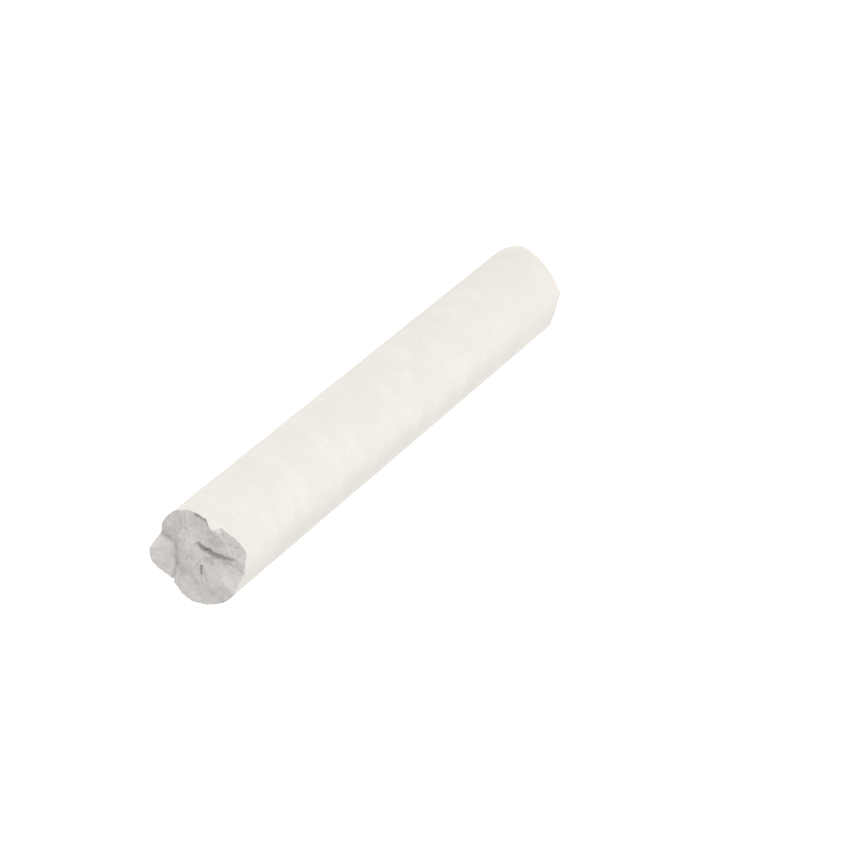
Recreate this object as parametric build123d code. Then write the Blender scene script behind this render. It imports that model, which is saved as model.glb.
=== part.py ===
from build123d import *
import math
import os

# A stick of white blackboard chalk, moulded in one piece: a plain round bar with one flat,
# round-edged end that two chips have cut into, snapped off at the other. It stands on what is
# left of the flat end, with the break on top.
# Millimetres, +Z up along the stick, origin at the centre of the flat end.

stick_diameter = 9.5
stick_length = 81.4  # flat end to the highest point of the break
end_round = 0.85  # radius of the worn rim around the flat end

# Chips missing from the flat end's rim, each a sloping face: azimuth from +X towards +Y, how far
# it reaches up the side and how far it reaches in across the flat end.
chips = {
    "wide chip": (-98, 2.5, 2.85),
    "steep chip": (-152, 3.5, 1.0),
}

# The break is a crown of flat facets. Its corners lie around the rim, around an inner ring
# and on the axis. Depths are measured down from the highest point of the break.
# Rim corners: azimuth from +X towards +Y, and depth.
rim_corners = [
    (-74, -0.7),  # the high side, a peak that ends level
    (-60, 0.8),
    (-45, 1.45),
    (-24, 2.15),
    (-8, 2.7),
    (16, 3.4),
    (31, 4.3),  # a steep notch cuts the tongue free
    (41, 1.45),  # the tongue
    (58, 1.8),
    (75, 2.95),
    (91, 3.9),  # the low bay
    (108, 3.2),
    (125, 2.72),
    (140, 2.78),
    (168, 2.43),
    (190, 1.7),
    (206, 1.1),  # the low side's peak
    (224, 1.95),
    (239, 2.9),  # where the gash runs out
    (262, 1.8),
    (276, 1.2),
    (282, 0.95),  # a steep step up to the peak
]

# Inner corners: azimuth, distance in from the side, and depth.
inner_corners = [
    (-66, 1.2, 1.6),
    (-24, 1.8, 2.5),
    (6, 1.35, 3.0),  # three corners along the valley that sets the tongue apart
    (38, 1.95, 3.6),
    (74, 1.5, 3.9),
    (108, 2.6, 2.9),
    (145, 2.5, 2.1),
    (187, 2.1, 1.4),
    (229, 1.5, 2.4),
    (258, 1.3, 1.9),
]

middle_depth = 2.2

# A furrow is a rod laid in the break through points that each have an azimuth, a distance
# in from the side and a depth. The last value is the rod's radius.
furrows = {
    "mouth of the gash": (
        [(-55, 3.45, 2.25), (-78, 3.45, 2.35)],
        0.44,
    ),
    "gash across the middle": (
        [(-78, 3.45, 2.35), (248, 3.05, 2.35), (235, 2.35, 2.4)],
        0.34,
    ),
    "thin tail of the gash": (
        [(235, 2.35, 2.4), (228, 1.5, 2.5)],
        0.22,
    ),
    "crack along the valley": (
        [(-13, 0, 2.6), (6, 1.35, 3.0), (38, 1.95, 3.6), (74, 1.5, 3.9), (91, 0, 3.9)],
        0.15,
    ),
    "pit beside the middle": (
        [(159, 3.8, 2.2), (151, 3.3, 2.2)],
        0.2,
    ),
}

stick_radius = stick_diameter / 2
rim_overhang = 0.35  # how far the crown's outer corners stand off the side of the stick
crown_headroom = 2.0  # how far the crown's flat top stands over the break


def spot(azimuth, inset, depth):
    """The point at an azimuth, inset from the side and down from the highest point."""
    turn = math.radians(azimuth)
    reach = stick_radius - inset
    return Vector(reach * math.cos(turn), reach * math.sin(turn), stick_length - depth)


def polygon(corners):
    return Face(Wire.make_polygon(corners, close=True))


def bar():
    """The whole bar, as long as the break is high, with its flat end's rim rounded."""
    blank = Cylinder(stick_radius, stick_length, align=(Align.CENTER, Align.CENTER, Align.MIN))
    flat_end_rim = blank.edges().group_by(Axis.Z)[0]
    return fillet(flat_end_rim, end_round)


def chip(azimuth, height, depth):
    """A block on the outer side of the sloping face that a chip left on the flat end's rim."""
    on_side = spot(azimuth, 0, stick_length - height)
    on_end = spot(azimuth, depth, stick_length)
    slope = on_side - on_end
    along_rim = Vector(0, 0, 1).cross(slope)
    outwards = along_rim.cross(slope)
    face = Plane(origin=on_side, x_dir=along_rim, z_dir=outwards)
    size = 2 * stick_diameter
    return face * Box(size, size, size, align=(Align.CENTER, Align.CENTER, Align.MIN))


def facets(rim, inner, middle):
    """Triangles from the rim to the inner ring, walked round by azimuth, and to the middle."""
    faces = []
    at_rim = 0
    at_inner = 0
    rim_turns = [azimuth for azimuth, depth in rim_corners] + [rim_corners[0][0] + 360]
    inner_turns = [corner[0] for corner in inner_corners] + [inner_corners[0][0] + 360]
    while at_rim < len(rim) or at_inner < len(inner):
        outer = rim[at_rim % len(rim)]
        within = inner[at_inner % len(inner)]
        rim_is_next = at_inner == len(inner) or (
            at_rim < len(rim) and rim_turns[at_rim + 1] <= inner_turns[at_inner + 1]
        )
        if rim_is_next:
            at_rim += 1
            faces.append(polygon([outer, rim[at_rim % len(rim)], within]))
        else:
            at_inner += 1
            next_within = inner[at_inner % len(inner)]
            faces.append(polygon([outer, next_within, within]))
            faces.append(polygon([within, next_within, middle]))
    return faces


def crown():
    """What broke away: the space over the facets, closed by upright sides and a flat top."""
    rim = [spot(azimuth, -rim_overhang, depth) for azimuth, depth in rim_corners]
    inner = [spot(*corner) for corner in inner_corners]
    top = [spot(azimuth, -rim_overhang, -crown_headroom) for azimuth, depth in rim_corners]
    faces = facets(rim, inner, spot(0, stick_radius, middle_depth))
    for i, corner in enumerate(rim):
        faces.append(polygon([corner, rim[i - 1], top[i - 1], top[i]]))
    faces.append(polygon(top))
    return Solid(Shell(faces))


def furrow(route, radius):
    """Rods that meet in balls at the points of a route."""
    points = [spot(*place) for place in route]
    tools = [Pos(point) * Sphere(radius) for point in points]
    for start, end in zip(points, points[1:]):
        run = end - start
        rod = Cylinder(radius, run.length, align=(Align.CENTER, Align.CENTER, Align.MIN))
        tools.append(Plane(origin=start, z_dir=run) * rod)
    return tools


def chalk_stick():
    stick = bar() - crown()
    for sizes in chips.values():
        stick -= chip(*sizes)
    for sizes in furrows.values():
        stick -= furrow(*sizes)
    return stick


os.makedirs("parts", exist_ok=True)
stick = chalk_stick()
export_step(stick, "parts/chalk_stick.step")

box = stick.bounding_box()
print("solids", len(stick.solids()), "valid", stick.is_valid, "volume", round(stick.volume, 1))
print("size", box.size, "lowest", round(box.min.Z, 3), "highest", round(box.max.Z, 3))
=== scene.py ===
import bpy
import math
from mathutils import Matrix, Vector


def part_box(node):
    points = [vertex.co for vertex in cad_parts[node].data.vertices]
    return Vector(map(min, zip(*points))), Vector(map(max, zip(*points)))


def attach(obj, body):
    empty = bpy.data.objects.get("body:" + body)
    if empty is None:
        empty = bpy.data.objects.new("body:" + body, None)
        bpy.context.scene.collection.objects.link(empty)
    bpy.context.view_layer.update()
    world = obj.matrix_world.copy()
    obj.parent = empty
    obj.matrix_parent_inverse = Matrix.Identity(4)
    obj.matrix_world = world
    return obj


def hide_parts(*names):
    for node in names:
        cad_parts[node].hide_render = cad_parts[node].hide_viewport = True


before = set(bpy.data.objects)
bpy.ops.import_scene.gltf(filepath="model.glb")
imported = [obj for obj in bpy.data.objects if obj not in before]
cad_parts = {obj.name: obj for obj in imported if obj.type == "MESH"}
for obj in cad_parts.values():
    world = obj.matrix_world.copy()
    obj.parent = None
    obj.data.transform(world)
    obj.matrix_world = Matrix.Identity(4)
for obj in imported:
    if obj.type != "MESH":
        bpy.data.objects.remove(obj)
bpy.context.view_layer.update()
print("frame loaded")

mm = 0.001
stickLow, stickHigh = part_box("chalk_stick")
stickRadius = (stickHigh.x - stickLow.x) / 2
stickTop = stickHigh.z
touching = 0.001 * mm  # places nearer than this are one
hair = 0.01 * mm  # places nearer than this are level or in line
onSideSlack = 0.02 * mm  # a place this near the bar's radius is on its side


def selectNothing():
    bpy.ops.object.select_all(action="DESELECT")


def pick(piece, kind, test):
    # selects the corners, edges or faces that pass a test and leaves the piece in edit mode
    if bpy.context.object and bpy.context.object.mode == "EDIT":
        bpy.ops.object.mode_set(mode="OBJECT")
    selectNothing()
    bpy.context.view_layer.objects.active = piece
    piece.select_set(True)
    bpy.ops.object.mode_set(mode="EDIT")
    bpy.ops.mesh.select_mode(type=kind)
    bpy.ops.mesh.select_all(action="DESELECT")
    bpy.ops.object.mode_set(mode="OBJECT")
    mesh = piece.data
    if kind == "VERT":
        for corner in mesh.vertices:
            corner.select = test(corner.co)
    elif kind == "EDGE":
        for edge in mesh.edges:
            edge.select = test(*[mesh.vertices[end].co for end in edge.vertices])
    else:
        for face in mesh.polygons:
            face.select = test(face.center, face.normal)
    bpy.ops.object.mode_set(mode="EDIT")


def pickAll(piece):
    pick(piece, "VERT", lambda place: True)


def finishEdit():
    bpy.ops.object.mode_set(mode="OBJECT")


def applyModifier(piece, modifier):
    bpy.context.view_layer.objects.active = piece
    bpy.ops.object.modifier_apply(modifier=modifier.name)


def polar(azimuth, inset):
    # a place on the break: degrees from +X towards +Y, and millimetres in from the side
    turn = math.radians(azimuth)
    return Vector((math.cos(turn), math.sin(turn))) * (stickRadius - inset * mm)


# the stick of chalk: one bar, moulded round, snapped off at the top
chalk = {
    "sides": 320,  # points around the bar
    "breakRings": 56,  # rings of faces across the broken end
    "centreHole": 0.15,  # mm, what the rings leave before the middle is closed
    "neck": 73.0,  # mm up the bar, where the fine rings of the broken end stop
    "neckRings": 56,
    "barRings": 72,
    "endRound": 0.85,  # mm, the worn rim of the flat end
    "endRoundSteps": 8,
    "chipEdgeCuts": 40,  # along the straight edge that a chip leaves on the flat end
    "chipRings": 11,  # rings of faces across a chip
    "chipSpoke": 0.3,  # mm, spokes of a chip longer than this are cut into rings
    "chipZone": 5.0,  # mm up the bar, where the chips have ended
    "chipSlack": 0.12,  # mm, how far crumbs may stand off a chip's face
    "chipFoot": 0.02,  # mm up from the flat end, where the chips start
    "chipSmoothSide": 0.1,  # mm in from the side that doesn't crumble, so a chip's rim stays closed
    "chipSmoothFoot": 0.2,  # mm up from the flat end that doesn't crumble
    "dentSize": 2.6,  # mm, the slight waviness of a moulded side
    "dentDepth": 0.03,
    "smoothAngle": 40,  # degrees, sharper edges stay sharp
}

# how the CAD stick's broken face is told from the rest of it
guideCut = {
    "sideShare": 0.985,  # share of the radius, past which an upright face is the bar's side
    "upright": 0.05,  # a normal that rises less than this is level
    "depth": 7.0,  # mm down from the top, where the broken face has ended
    "spread": 1.02,
    "headroom": 5.0,  # mm over the top, where the disc starts
}

# chips off the flat end's rim: azimuth, mm up the side, mm in across the flat end
chips = {
    "wide chip": (-98, 2.5, 2.85),
    "steep chip": (-152, 3.5, 1.0),
}

# what the snap left on the broken end, over the facets that the CAD stick has
# line: azimuth and mm in from the side; down: mm, below zero stands up; flat and reach: mm
breakMarks = {
    "worn peak": {
        "line": [(-64, 0), (-77, 0)],
        "down": 0.22, "flat": 0.15, "reach": 0.6, "edge": "SMOOTH",
    },
    "band beside the valley": {
        "line": [(-28, 0.5), (-20, 2.0), (16, 3.2), (60, 3.0)],
        "down": -0.25, "flat": 0.42, "reach": 0.35, "edge": "SHARP",
    },
    "rise of the band": {
        "line": [(8, 3.3), (50, 3.2)],
        "down": -0.45, "flat": 0.3, "reach": 1.8, "edge": "SMOOTH",
    },
    "seam in the band": {
        "line": [(-30, 0.1), (-17, 2.1), (12, 3.2)],
        "down": 0.1, "flat": 0.04, "reach": 0.22, "edge": "SHARP",
    },
    "lip under the high side": {
        "line": [(-45, 0.3), (-58, 0.32), (-68, 0.25)],
        "down": 0.35, "flat": 0.07, "reach": 0.3, "edge": "SHARP",
    },
    "tooth": {
        "line": [(-77, 0.0), (-78, 0.2)],
        "down": -0.2, "flat": 0.08, "reach": 0.2, "edge": "SHARP",
    },
    "step past the tooth": {
        "line": [(-80, 0.35), (-86, 0.7)],
        "down": 0.25, "flat": 0.15, "reach": 0.35, "edge": "SHARP",
    },
    "groove under the rim": {
        "line": [(-80, 1.0), (-96, 1.0), (-112, 0.75)],
        "down": 0.15, "flat": 0.1, "reach": 0.35, "edge": "SHARP",
    },
    "ridge over the gash": {
        "line": [(-84, 2.4), (-104, 2.1), (-120, 1.4)],
        "down": -0.15, "flat": 0.08, "reach": 0.4, "edge": "SHARP",
    },
    "mouth of the gash": {
        "line": [(-58, 3.4), (-86, 3.5), (-102, 3.2)],
        "down": 0.25, "flat": 0.24, "reach": 0.25, "edge": "SHARP",
    },
    "floor of the gash": {
        "line": [(-100, 3.25), (-114, 2.9), (-128, 2.1)],
        "down": 0.25, "flat": 0.16, "reach": 0.4, "edge": "SMOOTH",
    },
    "hollow past the gash": {
        "line": [(-143, 1.9), (-144, 1.2), (-145, 0.4)],
        "down": 0.75, "flat": 0.1, "reach": 1.0, "edge": "LINEAR",
    },
    "bank under the hollow": {
        "line": [(-158, 2.2), (-161, 1.2), (-164, 0.3)],
        "down": -0.45, "flat": 0.12, "reach": 0.6, "edge": "SMOOTH",
    },
    "ridge left of the pit": {
        "line": [(-172, 4.6), (110, 3.9), (118, 3.1)],
        "down": -0.25, "flat": 0.07, "reach": 0.35, "edge": "SHARP",
    },
    "ridge right of the pit": {
        "line": [(-150, 4.2), (-172, 3.3), (176, 2.8)],
        "down": -0.28, "flat": 0.07, "reach": 0.35, "edge": "SHARP",
    },
    "pit": {
        "line": [(159, 3.9), (150, 3.3)],
        "down": 0.3, "flat": 0.08, "reach": 0.3, "edge": "SHARP",
    },
    "small pit": {
        "line": [(172, 3.0), (166, 2.8)],
        "down": 0.25, "flat": 0.05, "reach": 0.25, "edge": "SHARP",
    },
    "flake by the gash": {
        "line": [(-128, 3.4), (-138, 2.9)],
        "down": -0.25, "flat": 0.06, "reach": 0.3, "edge": "SHARP",
    },
    "hollow of the low side": {
        "line": [(115, 1.4), (140, 1.7), (170, 1.4)],
        "down": 0.12, "flat": 0.2, "reach": 0.9, "edge": "SMOOTH",
    },
    "swell of the tongue": {
        "line": [(42, 0.9), (58, 0.8)],
        "down": -0.2, "flat": 0.15, "reach": 0.7, "edge": "SMOOTH",
    },
}

# crumbled chalk all over the break, and finer on the chips: mm across a lump and mm up and down
breakCrumbs = {
    "lumps": {"size": 1.0, "height": 0.28, "kind": "CLOUDS"},
    "flakes": {"size": 0.6, "height": 0.15, "kind": "VORONOI"},
    "grit": {"size": 0.22, "height": 0.1, "kind": "CLOUDS"},
}
chipCrumbs = {
    "chipLumps": {"size": 0.7, "height": 0.16, "kind": "CLOUDS"},
    "chipGrit": {"size": 0.25, "height": 0.08, "kind": "CLOUDS"},
}


def chipSlope(azimuth, height, depth):
    # a point on a chip's sloping face and the way the face looks
    onSide = polar(azimuth, 0).to_3d() + Vector((0, 0, height * mm))
    onEnd = polar(azimuth, depth).to_3d()
    slope = onSide - onEnd
    alongRim = Vector((0, 0, 1)).cross(slope)
    return onSide, -slope.cross(alongRim).normalized()


chipPlanes = [chipSlope(*sizes) for sizes in chips.values()]


def isOnSide(place):
    return place.xy.length > stickRadius - onSideSlack


def makeBreakGuide():
    # a copy of the CAD stick, merged and cut down to its broken face, and spread a little
    # so that the new piece's rim lands on it too
    guide = bpy.data.objects.new("breakGuide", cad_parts["chalk_stick"].data.copy())
    bpy.context.collection.objects.link(guide)
    pickAll(guide)
    bpy.ops.mesh.remove_doubles(threshold=touching)

    def isNotBreak(centre, normal):
        isFarOut = centre.xy.length > guideCut["sideShare"] * stickRadius
        isSide = isFarOut and abs(normal.z) < guideCut["upright"]
        return isSide or centre.z < stickTop - guideCut["depth"] * mm

    pick(guide, "FACE", isNotBreak)
    bpy.ops.mesh.delete(type="FACE")
    bpy.ops.mesh.select_all(action="SELECT")
    spread = guideCut["spread"]
    bpy.ops.transform.resize(value=(spread, spread, 1), center_override=(0, 0, 0))
    finishEdit()
    return guide


def makeBreakDisc(guide):
    # a round of fine rings, dropped onto the broken face
    bpy.ops.mesh.primitive_circle_add(
        vertices=chalk["sides"], radius=stickRadius, fill_type="NGON",
        location=(0, 0, stickTop + guideCut["headroom"] * mm),
    )
    disc = bpy.context.object
    disc.name = "chalk_bar"
    bpy.ops.object.transform_apply(location=True, rotation=True, scale=True)
    pickAll(disc)
    ringWidth = (stickRadius - chalk["centreHole"] * mm) / chalk["breakRings"]
    for ring in range(chalk["breakRings"]):
        bpy.ops.mesh.inset(thickness=ringWidth, use_boundary=True)
    bpy.ops.mesh.poke()
    finishEdit()
    drop = disc.modifiers.new("dropOnBreak", "SHRINKWRAP")
    drop.wrap_method = "PROJECT"
    drop.target = guide
    drop.use_project_z = True
    drop.use_negative_direction = True
    drop.use_positive_direction = False
    applyModifier(disc, drop)
    return disc


def pressMark(disc, mark):
    # presses a line of the broken face down, with a soft or a sharp edge
    route = [polar(*place) for place in mark["line"]]

    def onLine(place):
        for start, end in zip(route, route[1:]):
            run = end - start
            along = max(0, min(1, (place.xy - start).dot(run) / run.length_squared))
            if (place.xy - start - along * run).length < mark["flat"] * mm:
                return True
        return False

    pick(disc, "VERT", onLine)
    bpy.ops.transform.translate(
        value=(0, 0, -mark["down"] * mm), use_proportional_edit=True,
        proportional_edit_falloff=mark["edge"], proportional_size=mark["reach"] * mm,
    )
    finishEdit()


def roughen(piece, name, size, height, kind, direction, group=""):
    # moves the surface in and out by a pattern of lumps that are size mm across
    pattern = bpy.data.textures.new(name, kind)
    pattern.noise_scale = size * mm
    swell = piece.modifiers.new(name, "DISPLACE")
    swell.texture = pattern
    swell.texture_coords = "LOCAL"
    swell.direction = direction
    swell.strength = height * mm
    swell.mid_level = 0.5
    swell.vertex_group = group
    applyModifier(piece, swell)
    bpy.data.textures.remove(pattern)


def nameGroup(piece, name, test):
    pick(piece, "VERT", test)
    group = piece.vertex_groups.new(name=name)
    piece.vertex_groups.active_index = group.index
    bpy.ops.object.vertex_group_assign()
    finishEdit()


def makeBar(disc):
    # the rim of the broken face is drawn down into the round bar, and the flat end closed
    bar = disc
    neck = chalk["neck"] * mm
    roundTop = chalk["endRound"] * mm
    pick(bar, "VERT", isOnSide)
    bpy.ops.mesh.extrude_region_move(TRANSFORM_OT_translate={"value": (0, 0, -1 * mm)})
    bpy.ops.transform.resize(value=(1, 1, 0), center_override=(0, 0, neck))
    bpy.ops.mesh.extrude_region_move(TRANSFORM_OT_translate={"value": (0, 0, -neck)})
    bpy.ops.mesh.edge_face_add()

    def isNeckUpright(a, b):
        low, high = sorted((a.z, b.z))
        isUpright = (a - b).xy.length < hair
        return isUpright and abs(low - neck) < hair and high > neck + 0.1 * mm

    def isBarUpright(a, b):
        low, high = sorted((a.z, b.z))
        return abs(low - roundTop) < hair and abs(high - neck) < hair

    pick(bar, "EDGE", isNeckUpright)
    bpy.ops.mesh.subdivide(number_cuts=chalk["neckRings"])
    pick(bar, "EDGE", lambda a, b: max(a.z, b.z) < touching)
    bpy.ops.mesh.bevel(offset=roundTop, segments=chalk["endRoundSteps"], affect="EDGES")
    pick(bar, "EDGE", isBarUpright)
    bpy.ops.mesh.subdivide(number_cuts=chalk["barRings"])
    finishEdit()
    return bar


def cutChip(bar, onSide, outwards):
    # cuts a chip off, and closes the cut with spokes that are cut fine enough to crumble
    pickAll(bar)
    bpy.ops.mesh.bisect(plane_co=onSide, plane_no=outwards, clear_outer=True, threshold=0.1 * touching)

    def isOnCut(*places):
        return all(abs((place - onSide).dot(outwards)) < 0.5 * touching for place in places)

    pick(bar, "EDGE", lambda a, b: isOnCut(a, b) and (a - b).length > mm)
    bpy.ops.mesh.subdivide(number_cuts=chalk["chipEdgeCuts"])
    pick(bar, "EDGE", isOnCut)
    bpy.ops.mesh.edge_face_add()
    bpy.ops.mesh.poke()
    pick(bar, "EDGE", lambda a, b: isOnCut(a, b) and (a - b).length > chalk["chipSpoke"] * mm)
    bpy.ops.mesh.subdivide(number_cuts=chalk["chipRings"])
    finishEdit()


def isOnChip(place):
    if isOnSide(place) or not chalk["chipFoot"] * mm <= place.z <= chalk["chipZone"] * mm:
        return False
    slack = chalk["chipSlack"] * mm
    return any(abs((place - onSide).dot(outwards)) < slack for onSide, outwards in chipPlanes)


def isInsideChip(place):
    # crumbles, but for its rim, which stays on the side and the flat end
    inwards = stickRadius - place.xy.length
    isClearOfRim = inwards > chalk["chipSmoothSide"] * mm and place.z > chalk["chipSmoothFoot"] * mm
    return isOnChip(place) and isClearOfRim


guide = makeBreakGuide()
disc = makeBreakDisc(guide)
bpy.data.objects.remove(guide)
for name, mark in breakMarks.items():
    pressMark(disc, mark)
print("broken face:", len(breakMarks), "marks pressed")
for name, crumbs in breakCrumbs.items():
    roughen(disc, name, crumbs["size"], crumbs["height"], crumbs["kind"], "Z")
bar = makeBar(disc)
for onSide, outwards in chipPlanes:
    cutChip(bar, onSide, outwards)
nameGroup(bar, "chipped", isInsideChip)
for name, crumbs in chipCrumbs.items():
    roughen(bar, name, crumbs["size"], crumbs["height"], crumbs["kind"], "NORMAL", "chipped")
nameGroup(bar, "side", isOnSide)
roughen(bar, "dents", chalk["dentSize"], chalk["dentDepth"], "CLOUDS", "NORMAL", "side")
pickAll(bar)
bpy.ops.mesh.normals_make_consistent(inside=False)
finishEdit()
bpy.ops.object.shade_smooth_by_angle(angle=math.radians(chalk["smoothAngle"]))
print("bar:", len(bar.data.vertices), "corners,", len(bar.data.polygons), "faces")

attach(bar, "root")
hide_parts("chalk_stick")


def toLinear(hexColour):
    # sRGB hex to the linear colour that a shader takes
    values = [int(hexColour[i:i + 2], 16) / 255 for i in (0, 2, 4)]
    linear = [v / 12.92 if v <= 0.04045 else ((v + 0.055) / 1.055) ** 2.4 for v in values]
    return (*linear, 1)


def addNode(tree, kind, settings, links):
    # a node, its settings or unlinked inputs, and what is linked to its inputs
    node = tree.nodes.new(kind)
    for name, value in settings.items():
        if isinstance(name, int) or name in node.inputs:
            node.inputs[name].default_value = value
        else:
            setattr(node, name, value)
    for name, source in links.items():
        tree.links.new(source, node.inputs[name])
    return node


def addShare(tree, edge, source):
    # how much of a pattern shows, from none at the first edge to all at the second
    return addNode(tree, "ShaderNodeMapRange",
        {"From Min": edge[0], "From Max": edge[1]}, {"Value": source}).outputs[0]


def newMaterial(name):
    material = bpy.data.materials.new(name)
    material.use_nodes = True
    tree = material.node_tree
    return material, tree, tree.nodes["Principled BSDF"]


# moulded chalk: gypsum and carbonate powder set in a mould, so its skin is smooth and dead matt,
# off-white with faint cloudy patches, a dusting of fine powder and a few pinholes, which carry painted
# shade
mouldedLook = {
    "base": "e4e0da",
    "patch": "e9e6e0",
    "powder": "e0dbd5",
    # painted shade in the pinholes
    "pinholeShade": "d4cfc8",
    "patchSize": 3.0,  # mm
    "powderSize": 0.25,  # mm, drawn coarser than real powder so that it shows
    "pinholeSpacing": 1.6,  # mm
    "pinholeSize": 0.07,  # share of the spacing
    "patchEdge": (0.45, 0.7),  # where in the noise a patch starts and where it is full
    "powderEdge": (0.45, 0.75),
    "bump": 0.012,  # mm
    "bumpStrength": 0.6,
    "roughness": 0.93,
    "ior": 1.52,  # gypsum
}

# broken chalk: the same powder torn apart, so it is grainy and crumbly, a little greyer,
# with painted highlight on the crumbs that stand up and painted shade in the hollows between them
brokenLook = {
    "base": "e6e2df",
    # painted highlight on the raised crumbs
    "crumbHighlight": "f1eeec",
    # painted shade in the hollows between the crumbs
    "hollowShade": "d6d2ce",
    "crumbSize": 0.4,  # mm
    "gritSize": 0.12,  # mm
    "crumbHighlightEdge": (0.5, 0.75),  # where in the noise the painted highlight starts and where it is full
    # painted shade where the noise, and so the bump, is low
    "hollowShadeEdge": (0.45, 0.25),
    "bump": 0.05,  # mm
    "bumpStrength": 0.8,
    "roughness": 0.97,
    "ior": 1.52,
}


def mouldedChalk():
    look = mouldedLook
    material, tree, shader = newMaterial("mouldedChalk")
    place = addNode(tree, "ShaderNodeTexCoord", {}, {}).outputs["Object"]
    patches = addNode(tree, "ShaderNodeTexNoise",
        {"Scale": 1 / (look["patchSize"] * mm), "Detail": 4, "Roughness": 0.6}, {"Vector": place})
    powder = addNode(tree, "ShaderNodeTexNoise",
        {"Scale": 1 / (look["powderSize"] * mm), "Detail": 3, "Roughness": 0.7}, {"Vector": place})
    holes = addNode(tree, "ShaderNodeTexVoronoi",
        {"Scale": 1 / (look["pinholeSpacing"] * mm), "Randomness": 1}, {"Vector": place})
    patchShare = addShare(tree, look["patchEdge"], patches.outputs["Fac"])
    powderShare = addShare(tree, look["powderEdge"], powder.outputs["Fac"])
    holeEdge = (look["pinholeSize"], look["pinholeSize"] * 0.5)
    holeShare = addShare(tree, holeEdge, holes.outputs["Distance"])
    patched = addNode(tree, "ShaderNodeMix",
        {"data_type": "RGBA", 6: toLinear(look["base"]), 7: toLinear(look["patch"])},
        {0: patchShare})
    powdered = addNode(tree, "ShaderNodeMix",
        {"data_type": "RGBA", 7: toLinear(look["powder"])},
        {0: powderShare, 6: patched.outputs[2]})
    # the pinholes are painted darker: painted shade in the holes, on top of their dent in the bump
    pinholeShaded = addNode(tree, "ShaderNodeMix",
        {"data_type": "RGBA", 7: toLinear(look["pinholeShade"])},
        {0: holeShare, 6: powdered.outputs[2]})
    tree.links.new(pinholeShaded.outputs[2], shader.inputs["Base Color"])
    height = addNode(tree, "ShaderNodeMath",
        {"operation": "SUBTRACT"}, {0: powder.outputs["Fac"], 1: holeShare})
    bump = addNode(tree, "ShaderNodeBump",
        {"Strength": look["bumpStrength"], "Distance": look["bump"] * mm},
        {"Height": height.outputs[0]})
    tree.links.new(bump.outputs[0], shader.inputs["Normal"])
    shader.inputs["Roughness"].default_value = look["roughness"]
    shader.inputs["Diffuse Roughness"].default_value = 1
    shader.inputs["IOR"].default_value = look["ior"]
    return material


def brokenChalk():
    look = brokenLook
    material, tree, shader = newMaterial("brokenChalk")
    place = addNode(tree, "ShaderNodeTexCoord", {}, {}).outputs["Object"]
    crumbs = addNode(tree, "ShaderNodeTexNoise",
        {"Scale": 1 / (look["crumbSize"] * mm), "Detail": 5, "Roughness": 0.65}, {"Vector": place})
    grit = addNode(tree, "ShaderNodeTexVoronoi",
        {"Scale": 1 / (look["gritSize"] * mm), "Randomness": 1}, {"Vector": place})
    # lighter where the crumbs stand high and darker where they sink, following the bump's height:
    # painted highlight and painted shade
    crumbHighlightShare = addShare(tree, look["crumbHighlightEdge"], crumbs.outputs["Fac"])
    hollowShadeShare = addShare(tree, look["hollowShadeEdge"], crumbs.outputs["Fac"])
    highlighted = addNode(tree, "ShaderNodeMix",
        {"data_type": "RGBA", 6: toLinear(look["base"]), 7: toLinear(look["crumbHighlight"])},
        {0: crumbHighlightShare})
    shaded = addNode(tree, "ShaderNodeMix",
        {"data_type": "RGBA", 7: toLinear(look["hollowShade"])},
        {0: hollowShadeShare, 6: highlighted.outputs[2]})
    tree.links.new(shaded.outputs[2], shader.inputs["Base Color"])
    height = addNode(tree, "ShaderNodeMath",
        {"operation": "ADD"}, {0: crumbs.outputs["Fac"], 1: grit.outputs["Distance"]})
    bump = addNode(tree, "ShaderNodeBump",
        {"Strength": look["bumpStrength"], "Distance": look["bump"] * mm},
        {"Height": height.outputs[0]})
    tree.links.new(bump.outputs[0], shader.inputs["Normal"])
    shader.inputs["Roughness"].default_value = look["roughness"]
    shader.inputs["Diffuse Roughness"].default_value = 1
    shader.inputs["IOR"].default_value = look["ior"]
    return material


bar.data.materials.append(mouldedChalk())
bar.data.materials.append(brokenChalk())


def isBroken(centre, normal):
    onBreak = centre.z > chalk["neck"] * mm and centre.xy.length < stickRadius - 0.03 * mm
    return onBreak or isOnChip(centre)


pick(bar, "FACE", isBroken)
bar.active_material_index = 1
bpy.ops.object.material_slot_assign()
finishEdit()
print("chalk finishes on")

# a light table in a white room that is brightest behind and to the left of the stick, with one lamp
# from the front right, low enough to bring out the grain of the break
studio = {
    "floorHex": "f4f4f4",
    "floorSize": 4,  # metres
    "floorGlow": 0.76,
    "skyGlow": 0.7,
    "skySlope": 0.48,  # how much brighter and darker its two sides are
    "brightSide": 150,  # degrees from +X towards +Y
    "keyTurn": -60,  # degrees from +X towards +Y
    "keyHeight": 32,  # degrees over the floor
    "keyDistance": 0.55,  # metres
    "keySize": 0.15,  # metres
    "keyPower": 0.92,  # watts
    "keyTarget": 0.06,  # metres up the stick, where the lamp points
}

bpy.ops.mesh.primitive_plane_add(size=studio["floorSize"], location=(0, 0, 0))
floor = bpy.context.object
floor.name = "floor"
paper, tree, shader = newMaterial("floorPaper")
shader.inputs["Base Color"].default_value = toLinear(studio["floorHex"])
shader.inputs["Roughness"].default_value = 1
shader.inputs["Emission Color"].default_value = (1, 1, 1, 1)
shader.inputs["Emission Strength"].default_value = studio["floorGlow"]
floor.data.materials.append(paper)

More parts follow.
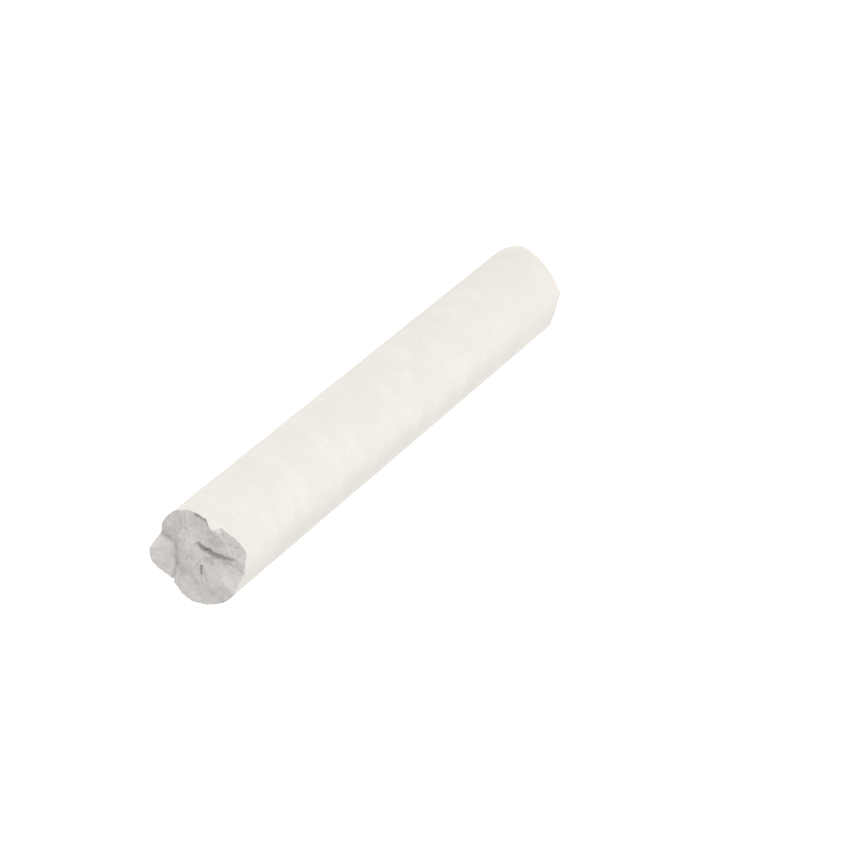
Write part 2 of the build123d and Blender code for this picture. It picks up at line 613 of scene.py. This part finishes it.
world = bpy.data.worlds.new("studio")
bpy.context.scene.world = world
world.use_nodes = True
tree = world.node_tree
side = math.radians(studio["brightSide"])
way = addNode(tree, "ShaderNodeTexCoord", {}, {}).outputs["Generated"]
facing = addNode(tree, "ShaderNodeVectorMath",
    {"operation": "DOT_PRODUCT", 1: (math.cos(side), math.sin(side), 0)}, {0: way})
glow = addNode(tree, "ShaderNodeMapRange", {
    "From Min": -1, "From Max": 1,
    "To Min": studio["skyGlow"] - studio["skySlope"], "To Max": studio["skyGlow"] + studio["skySlope"],
}, {"Value": facing.outputs["Value"]})
tree.links.new(glow.outputs[0], tree.nodes["Background"].inputs["Strength"])
tree.nodes["Background"].inputs["Color"].default_value = (1, 1, 1, 1)


def addLamp(name, place, size, power, target):
    lampData = bpy.data.lights.new(name, "AREA")
    lampData.size = size
    lampData.energy = power
    lamp = bpy.data.objects.new(name, lampData)
    bpy.context.collection.objects.link(lamp)
    lamp.location = place
    lamp.rotation_euler = (Vector(target) - Vector(place)).to_track_quat("-Z", "Y").to_euler()


turn, height = math.radians(studio["keyTurn"]), math.radians(studio["keyHeight"])
level = math.cos(height)
keyWay = Vector((level * math.cos(turn), level * math.sin(turn), math.sin(height)))
addLamp("keyLamp", keyWay * studio["keyDistance"], studio["keySize"], studio["keyPower"],
    (0, 0, studio["keyTarget"]))

# the camera looks down at the stick and is rolled, so the broken end comes towards it at lower left
camera = {
    "place": (-4.25, -248.6, 445.0),  # mm
    "elevation": 58.85,  # degrees down from level
    "roll": -130.4,
    "lens": 205.9,  # mm on a 36 mm sensor
}

cameraData = bpy.data.cameras.new("camera")
cameraData.lens = camera["lens"]
cameraData.sensor_width = 36
cameraData.clip_start = 0.01  # metres
eye = bpy.data.objects.new("camera", cameraData)
bpy.context.collection.objects.link(eye)
tilt = Matrix.Rotation(math.radians(90 - camera["elevation"]), 4, "X")
roll = Matrix.Rotation(math.radians(camera["roll"]), 4, "Z")
eye.matrix_world = Matrix.Translation(Vector(camera["place"]) * mm) @ tilt @ roll
bpy.context.scene.camera = eye
bpy.context.scene.view_settings.view_transform = "Standard"
print("studio and camera set")
